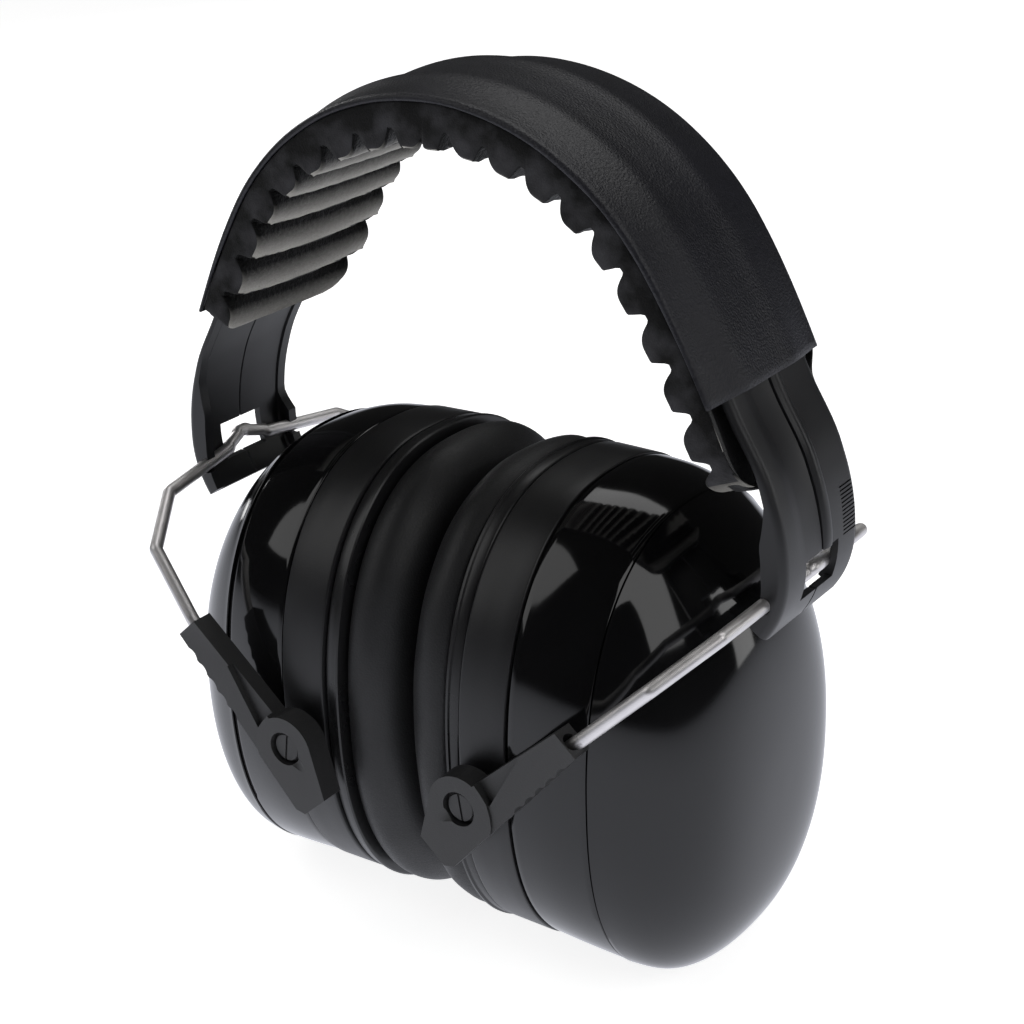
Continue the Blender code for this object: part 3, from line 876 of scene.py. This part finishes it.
def tube_along(name, route, radius, segments=20):
    """A round bar on a route, with its rings carried along without twisting."""
    rings = []
    normal = None
    for i, point in enumerate(route):
        ahead = route[min(i + 1, len(route) - 1)] - point
        behind = point - route[max(i - 1, 0)]
        way = (ahead.normalized() + behind.normalized()).normalized()
        normal = way.orthogonal() if normal is None else normal - way * normal.dot(way)
        normal.normalize()
        side = way.cross(normal)
        rings.append([
            point + (normal * math.cos(a) + side * math.sin(a)) * radius
            for a in (2 * math.pi * k / segments for k in range(segments))
        ])
    return loft(name, rings)


def wire_fork(side_name, side):
    """From the front socket over the shoulder and the crank in the arm's window to the rear."""
    mid_y = -sum(FORK_Y) / 2
    way = socket_way(side)
    mouth = Vector((side * SOCKET_X, mid_y, SOCKET_Z))
    front = [
        mouth - way * (SOCKET_DEPTH - 0.3),
        mouth + way * 1.6,
        Vector((side * SHOULDER_X, -SHOULDER_Y[0], HINGE_Z - SHOULDER_DROP)),
        Vector((side * HINGE_X, -SHOULDER_Y[1], HINGE_Z)),
        Vector((side * HINGE_X, -CRANK_Y[1], HINGE_Z)),
        Vector((side * (HINGE_X + CRANK_OUT), -CRANK_Y[0], HINGE_Z + CRANK_UP)),
    ]
    rear = [Vector((p.x, -p.y, p.z)) for p in reversed(front)]
    route = rounded(front + rear, WIRE_BEND_RADIUS, WIRE_BEND_STEPS)
    wire = piece(f"wire_{side_name}", tube_along("wire", route, WIRE_RADIUS), STEEL)
    settle(wire, f"fork_{side_name}", [f"wire_fork_{side_name}"])


# Fork ends and pins


def fork_outline(side):
    """The side view of a fork end as (x, z): socket, boss round the pin, and wedge tip."""
    way = socket_way(side)
    across = Vector((-side * way.z, 0.0, side * way.x))
    mouth = Vector((side * SOCKET_X, 0.0, SOCKET_Z))
    points = [mouth + across * MOUTH_HALF, mouth - across * MOUTH_HALF]
    points += [Vector((side * x, 0.0, z)) for x, z in FORK_TIP]
    boss = Vector((side * PIN_X, 0.0, PIN_Z))
    for degrees in range(170, 50, -10):
        angle = math.radians(degrees)
        outward = Vector((side * math.cos(angle), 0.0, math.sin(angle)))
        points.append(boss + outward * BOSS_RADIUS)
    return points


def fork_end(side_name, side, face_name, face):
    """The moulded end of the wire: recesses, furrow, socket, pin hole, grips on its low edge."""
    low, high = FORK_Y
    name = f"fork_end_{face_name}_{side_name}"
    outline = fork_outline(side)
    flat = [(p.x, p.z) for p in outline]
    end = piece(f"{name}_moulding", extruded(name, flat, face * low, face * high), FORK)
    mouth = Vector((side * SOCKET_X, face * (low + high) / 2, SOCKET_Z))
    way = socket_way(side)
    pin = Vector((side * PIN_X, 0.0, PIN_Z))

    def cut(name, corners, depth):
        """A recess in the outer face, its corners given from the pin as (outward, up)."""
        corners = [(pin.x + side * x, pin.z + z) for x, z in corners]
        return extruded(name, corners, face * (high - depth), face * (high + 1.0))

    def on_pin(name, y_from, y_to, radius):
        start, stop = (pin.x, face * y_from, pin.z), (pin.x, face * y_to, pin.z)
        return cylinder(name, start, stop, radius)

    furrow = Vector((-side * 0.8, 0.0, -0.6))
    above = pin + Vector((0.0, face * (high + 1.5), 0.0))
    socket_radius, flare_radius = WIRE_RADIUS + 0.25, WIRE_RADIUS + 0.1
    tools = [
        cut("bar", BAR_CUT, BAR_DEPTH),
        cut("ledge", LEDGE_CUT, LEDGE_DEPTH),
        cylinder("furrow", above + furrow * 2.6, above + furrow * 10.0, 2.3, end_radius=0.8),
        cylinder("socket", mouth - way * SOCKET_DEPTH, mouth + way * 4.0, socket_radius),
        cylinder("flare", mouth - way * 0.6, mouth + way * 0.6, flare_radius, end_radius=2.1),
        on_pin("hole", 40.0, 50.0, PIN_HOLE_RADIUS),
        on_pin("recess", PIN_RECESS_Y, 50.0, PIN_RECESS_RADIUS),
    ]
    edge_start, edge_end = outline[1], outline[2]
    along = (edge_end - edge_start).normalized()
    outward = Vector((-side * along.z, 0.0, side * along.x))
    if outward.z > 0:
        outward = -outward
    for k in range(EDGE_GRIPS):
        centre = edge_start + along * (5.0 + EDGE_GRIP_PITCH * k) + outward * 1.75
        ends = [(centre.x, face * y, centre.z) for y in (low - 1, high + 1)]
        tools.append(cylinder("grip", *ends, EDGE_GRIP_RADIUS, 40))
    carve(end, tools)
    soften(end, 0.3, 3)
    settle(end, f"fork_{side_name}", [name], weighted=True)


def pivot_pin(side_name, side, face_name, face):
    """A headed pin with a screwdriver slot."""
    name = f"pivot_pin_{face_name}_{side_name}"
    rings = [
        [
            Vector((side * PIN_X + radius * math.cos(a), face * y, PIN_Z + radius * math.sin(a)))
            for a in (2 * math.pi * k / 48 for k in range(48))
        ]
        for y, radius in PIN_PROFILE
    ]
    pin = piece(f"{name}_turned", loft(name, rings), FORK)
    turn = math.radians(PIN_TURN_DEG * side)
    cos, sin = math.cos(turn), math.sin(turn)
    half = PIN_SLOT_HALF
    slot = [
        (side * PIN_X + u * cos - v * sin, PIN_Z + u * sin + v * cos)
        for u, v in ((-half, -5.0), (half, -5.0), (half, 5.0), (-half, 5.0))
    ]
    carve(pin, [extruded("slot", slot, face * PIN_SLOT_Y, face * 49.0)])
    settle(pin, f"cup_{side_name}", [name], weighted=True)


# Ear cups


def oval(side, x, half_width, top, bottom, squareness, shrink=0.0, foot=0.0, points=160):
    """A squarish oval across X; nothing goes below the foot."""
    middle, half_height = (top + bottom) / 2, (top - bottom) / 2 - shrink
    half_width -= shrink
    ring = []
    for i in range(points):
        angle = 2 * math.pi * (i + 0.5) / points
        across, up = math.cos(angle), math.sin(angle)
        y = math.copysign(abs(across) ** (2 / squareness), across) * half_width
        z = middle + math.copysign(abs(up) ** (2 / squareness), up) * half_height
        ring.append(Vector((side * x, y, max(z, foot))))
    return ring


def soft_oval(side, x, half_width, points=160):
    """The cushion's and its plate's oval, higher than wide by the same amount at every size."""
    top, bottom = (CUP_MID_Z + way * (half_width + HEIGHT_OVER_WIDTH) for way in (1, -1))
    return oval(side, x, half_width, top, bottom, SQUARENESS, points=points)


def spline(rows, count):
    """A natural cubic spline through the rows, by the distance between them."""
    data = np.array(rows, float)
    gaps = np.linalg.norm(np.diff(data[:, :3], axis=0), axis=1)
    t = np.concatenate([[0.0], np.cumsum(gaps)])
    size = len(t)
    system, right = np.eye(size), np.zeros_like(data)
    for i in range(1, size - 1):
        before, after = gaps[i - 1], gaps[i]
        system[i, i - 1 : i + 2] = before, 2 * (before + after), after
        right[i] = 6 * ((data[i + 1] - data[i]) / after - (data[i] - data[i - 1]) / before)
    bend = np.linalg.solve(system, right)
    made = []
    for value in np.linspace(0.0, t[-1], count):
        i = min(size - 2, max(0, int(np.searchsorted(t, value)) - 1))
        h, a, b = gaps[i], t[i + 1] - value, value - t[i]
        made.append(
            bend[i] * a**3 / (6 * h) + bend[i + 1] * b**3 / (6 * h)
            + (data[i] / h - bend[i] * h / 6) * a + (data[i + 1] / h - bend[i + 1] * h / 6) * b
        )
    return made


def cup_base(side_name, side):
    """The matte ring: a seam step at each edge, and a boss for each pin."""
    x0, x1 = BASE_X

    def row(x, shrink):
        t = (x - x0) / (x1 - x0)
        values = [a + (b - a) * t for a, b in zip(*CUP_BASE_ENDS)]
        return oval(side, x, *values, SQUARENESS, shrink=shrink)

    outside = [
        row(x0, 0.35), row(x0 + 0.1, 0.16), row(x0 + 0.3, 0.04), row(x0 + 0.6, 0.0),
        row(x0 + 3.6, 0.0), row(x0 + 7.2, 0.0), row(x1 - 0.5, 0.0), row(x1 - 0.2, 0.06),
        row(x1 - 0.05, 0.2), row(x1, 0.4),
    ]
    inside = [row(x1, CUP_WALL), row(x0, CUP_WALL)]
    name = f"cup_base_{side_name}"
    base = piece(f"{name}_ring", loft(name, outside + inside, closed=True), RING)
    for face in (-1, 1):
        boss_ends = [(side * PIN_X, face * y, PIN_Z) for y in CUP_BOSS_Y]
        carve(base, [cylinder("boss", *boss_ends, CUP_BOSS_RADIUS)], "UNION")
        bore_ends = [(side * PIN_X, face * y, PIN_Z) for y in CUP_BORE_Y]
        carve(base, [cylinder("bore", *bore_ends, PIN_HOLE_RADIUS)])
    settle(base, f"cup_{side_name}", [name], 30.0)


def lip(side, row, steps):
    """The rounded edge of a shell at a row: a ring for each step of (move in x, shrink)."""
    return [oval(side, row[0] + move, *row[1:], shrink=shrink) for move, shrink in steps]


def inner(side, row, move=0.0):
    """The inside of a cup's wall at a row."""
    return oval(side, row[0] - move, *row[1:], shrink=CUP_WALL, foot=CUP_WALL)


def cup_shell(side_name, side):
    """The inner part of the glossy shell, open at both ends."""
    rows = spline(CUP_SHELL, 14)
    first, last = rows[0], rows[-1]
    outside = lip(side, first, ((0.0, 0.22), (0.1, 0.06), (0.25, 0.0)))
    outside += [oval(side, *row) for row in rows[1:-1]]
    outside += lip(side, last, ((-0.15, 0.0), (0.0, 0.16)))
    inside = [inner(side, last), inner(side, first)]
    name = f"cup_shell_{side_name}"
    shell = piece(f"{name}_gloss", loft(name, outside + inside, closed=True), GLOSS)
    settle(shell, f"cup_{side_name}", [name], 40.0)


def cup_cap(side_name, side):
    """The domed outer part of the glossy shell."""
    rows = spline(CUP_CAP, 64)
    first = rows[0]
    outside = lip(side, first, ((0.0, 0.2), (0.08, 0.06), (0.2, 0.0)))
    outside += [oval(side, *row) for row in rows[1:]]
    inside = [inner(side, row, min(CUP_WALL, row[0] - first[0])) for row in rows[:48:4]]
    name = f"cup_cap_{side_name}"
    cap = piece(f"{name}_gloss", loft(name, outside[::-1] + inside), GLOSS)
    settle(cap, f"cup_{side_name}", [name], 40.0)


def cushion_plate(side_name, side):
    """The strip that the cushion is bonded to, with a raised ridge at its outer edge."""
    x0, x1 = PLATE_X
    outside = [
        (x0, 39.9), (x0 + 0.1, 40.35), (x0 + 0.4, 40.6), (x0 + 0.9, 40.6), (x0 + 1.15, 40.25),
        (x1 - 0.5, 40.25), (x1 - 0.2, 40.1), (x1, 39.8),
    ]
    rings = [soft_oval(side, x, half) for x, half in outside]
    rings += [soft_oval(side, x1, PLATE_BORE), soft_oval(side, x0, PLATE_BORE)]
    name = f"cushion_plate_{side_name}"
    plate = piece(f"{name}_strip", loft(name, rings, closed=True), PLATE)
    settle(plate, f"cup_{side_name}", [name], 30.0)


def cloth_inflated(made, pressure, cap_mm, pin):
    """Inflates a closed mesh by cloth, moving no point further than the cap; pin holds points."""
    rest = [vert.co.copy() for vert in made.data.vertices]
    group = made.vertex_groups.new(name="pin")
    for vert in made.data.vertices:
        group.add([vert.index], pin(vert.co / MM), "REPLACE")
    cloth = made.modifiers.new("cloth", "CLOTH")
    settings = cloth.settings
    settings.quality = 6
    settings.mass = 0.2
    settings.vertex_group_mass = "pin"
    settings.use_pressure = True
    settings.uniform_pressure_force = pressure
    settings.effector_weights.gravity = 0.0
    settings.tension_stiffness = settings.compression_stiffness = 12.0
    settings.shear_stiffness = 6.0
    settings.bending_stiffness = 0.6
    cloth.point_cache.frame_start, cloth.point_cache.frame_end = 1, CLOTH_FRAMES
    scene = bpy.context.scene
    for number in range(1, CLOTH_FRAMES + 1):
        scene.frame_set(number)
    applied(made)
    scene.frame_set(1)
    made.vertex_groups.clear()
    for vert, start in zip(made.data.vertices, rest):
        moved = vert.co - start
        if moved.length > cap_mm * MM:
            vert.co = start + moved.normalized() * (cap_mm * MM)


def ear_cushion(side_name, side):
    """A cushion inflated by cloth, then creased where it isn't held by its plate."""
    rows = spline(CUSHION, 34)
    rings = [soft_oval(side, row[0], row[1], 120) for row in rows]
    name = f"ear_cushion_{side_name}"
    cushion = piece(f"{name}_soft", loft(name, rings, closed=True), CUSHION_SKIN)
    cloth_inflated(
        cushion, CUSHION_PRESSURE, CUSHION_CAP,
        lambda point: smoothstep(11.0, 12.8, abs(point.x)),
    )
    for vert in cushion.data.vertices:
        point = vert.co / MM
        loose = 1.0 - smoothstep(10.0, 12.6, abs(point.x))
        crease = noise.noise(Vector((point.x / 5, point.y / 11 + side * 3, point.z / 11)))
        fine = noise.noise(Vector((point.x / 2.5, point.y / 5, point.z / 5 + side * 9)))
        radial = Vector((0.0, point.y, point.z - CUP_MID_Z)).normalized()
        point += radial * loose * (0.28 * crease + 0.08 * fine)
        depth = min(max(abs(point.x), 0.06), 13.1)
        vert.co = Vector((side * depth, point.y, point.z)) * MM
    smooth = cushion.modifiers.new("smooth", "SUBSURF")
    smooth.levels = smooth.render_levels = 1
    applied(cushion)
    settle(cushion, f"cup_{side_name}", [name], 80.0)


def foam_insert(side_name, side):
    """Open-cell foam with a shallow dished face."""
    name = f"foam_insert_{side_name}"
    rings = []
    for x, half in FOAM:
        top, bottom = CUP_MID_Z + half * FOAM_STRETCH, CUP_MID_Z - half * FOAM_STRETCH
        rings.append(oval(side, x, half, top, bottom, FOAM_SQUARENESS, points=96))
    foam = piece(f"{name}_open_cell", loft(name, rings), OPEN_CELL)
    settle(foam, f"cup_{side_name}", [name], 60.0)


headband()
for side_name, side in (("left", -1), ("right", 1)):
    for face_name, face in (("front", -1), ("rear", 1)):
        arm_half(side_name, side, face_name, face)
        fork_end(side_name, side, face_name, face)
        pivot_pin(side_name, side, face_name, face)
    wire_fork(side_name, side)
    cup_base(side_name, side)
    cup_shell(side_name, side)
    cup_cap(side_name, side)
    cushion_plate(side_name, side)
    ear_cushion(side_name, side)
    foam_insert(side_name, side)

# The spring strip keeps its CAD shape.
core = frame["nodes"]["headband_core"]
core.data.materials.clear()
core.data.materials.append(STEEL)


# Stage


def stage():
    """A glowing floor, its weaker reflection in the shells, a backdrop, and the lights."""
    scene = bpy.context.scene
    bm = bmesh.new()
    bmesh.ops.create_grid(bm, x_segments=1, y_segments=1, size=FLOOR_HALF)
    floor = bpy.data.objects.new("floor", finished("floor", bm))
    scene.collection.objects.link(floor)
    floor.location.z = -0.0005
    pale, _, shader, _ = nodes_of("floor", (0.9, 0.9, 0.9), 0.9)
    shader.inputs["Emission Color"].default_value = (1.0, 1.0, 1.0, 1.0)
    shader.inputs["Emission Strength"].default_value = 0.85
    floor.data.materials.append(pale)
    floor.visible_glossy = False

    sheen = bpy.data.objects.new("floor_reflection", floor.data.copy())
    scene.collection.objects.link(sheen)
    sheen.scale = (REFLECTION_SCALE, REFLECTION_SCALE, 1.0)
    sheen.location.z = -0.001
    glow, tree, shader, place = nodes_of("floor_reflection", (0.0, 0.0, 0.0), 1.0)
    shader.inputs["Emission Color"].default_value = (0.9, 0.92, 1.0, 1.0)
    distance = tree.nodes.new("ShaderNodeVectorMath")
    distance.operation = "LENGTH"
    tree.links.new(place, distance.inputs[0])
    glowing = remap(tree, distance.outputs["Value"], 0.95, 0.1, 0.7, 4.5)
    tree.links.new(glowing, shader.inputs["Emission Strength"])
    sheen.data.materials.clear()
    sheen.data.materials.append(glow)
    sheen.visible_camera = sheen.visible_diffuse = sheen.visible_shadow = False

    bm = bmesh.new()
    bmesh.ops.create_uvsphere(bm, u_segments=48, v_segments=24, radius=BACKDROP_RADIUS)
    backdrop = bpy.data.objects.new("backdrop", finished("backdrop", bm))
    scene.collection.objects.link(backdrop)
    wall, _, shader, _ = nodes_of("backdrop", (0.0, 0.0, 0.0), 1.0)
    shader.inputs["Emission Color"].default_value = (1.0, 1.0, 1.0, 1.0)
    shader.inputs["Emission Strength"].default_value = 0.87
    backdrop.data.materials.append(wall)
    backdrop.visible_diffuse = backdrop.visible_glossy = backdrop.visible_shadow = False
    backdrop.visible_transmission = False

    world = bpy.data.worlds.new("studio")
    world.use_nodes = True
    background = world.node_tree.nodes["Background"]
    background.inputs["Color"].default_value = (1.0, 1.0, 1.0, 1.0)
    background.inputs["Strength"].default_value = 0.02
    scene.world = world

    def softbox(name, place, width, height, power):
        data = bpy.data.lights.new(name, "AREA")
        data.shape, data.size, data.size_y, data.energy = "RECTANGLE", width, height, power
        light = bpy.data.objects.new(name, data)
        light.location = place
        light.rotation_mode = "QUATERNION"
        aim = Vector(SCENE_MIDDLE) - Vector(place)
        light.rotation_quaternion = aim.to_track_quat("-Z", "Y")
        scene.collection.objects.link(light)

    softbox("key_left", (-0.75, -0.75, 0.95), 0.7, 1.2, 3.0)
    softbox("key_right", (1.05, -0.25, 0.95), 0.7, 0.9, 3.2)
    softbox("top", (0.0, 0.45, 1.2), 1.2, 0.8, 4.8)
    softbox("rim_right", (1.0, 0.75, 0.2), 0.25, 0.9, 1.5)
    softbox("rim_left", (-1.1, 0.4, 0.3), 0.3, 0.9, 3.0)


def camera():
    """At the photograph's viewing angle."""
    data = bpy.data.cameras.new("camera")
    data.sensor_width, data.lens = 36.0, 70.0
    data.clip_start, data.clip_end = 0.01, 50.0
    made = bpy.data.objects.new("camera", data)
    azimuth = Matrix.Rotation(math.radians(CAMERA_AZIMUTH_DEG), 4, "Z")
    tilt = Matrix.Rotation(math.radians(90.0 - CAMERA_ELEVATION_DEG), 4, "X")
    roll = Matrix.Rotation(math.radians(CAMERA_ROLL_DEG), 4, "Z")
    made.matrix_world = Matrix.Translation(CAMERA_PLACE) @ azimuth @ tilt @ roll
    bpy.context.scene.collection.objects.link(made)
    bpy.context.scene.camera = made


stage()
camera()
bpy.context.scene.view_settings.view_transform = "Standard"
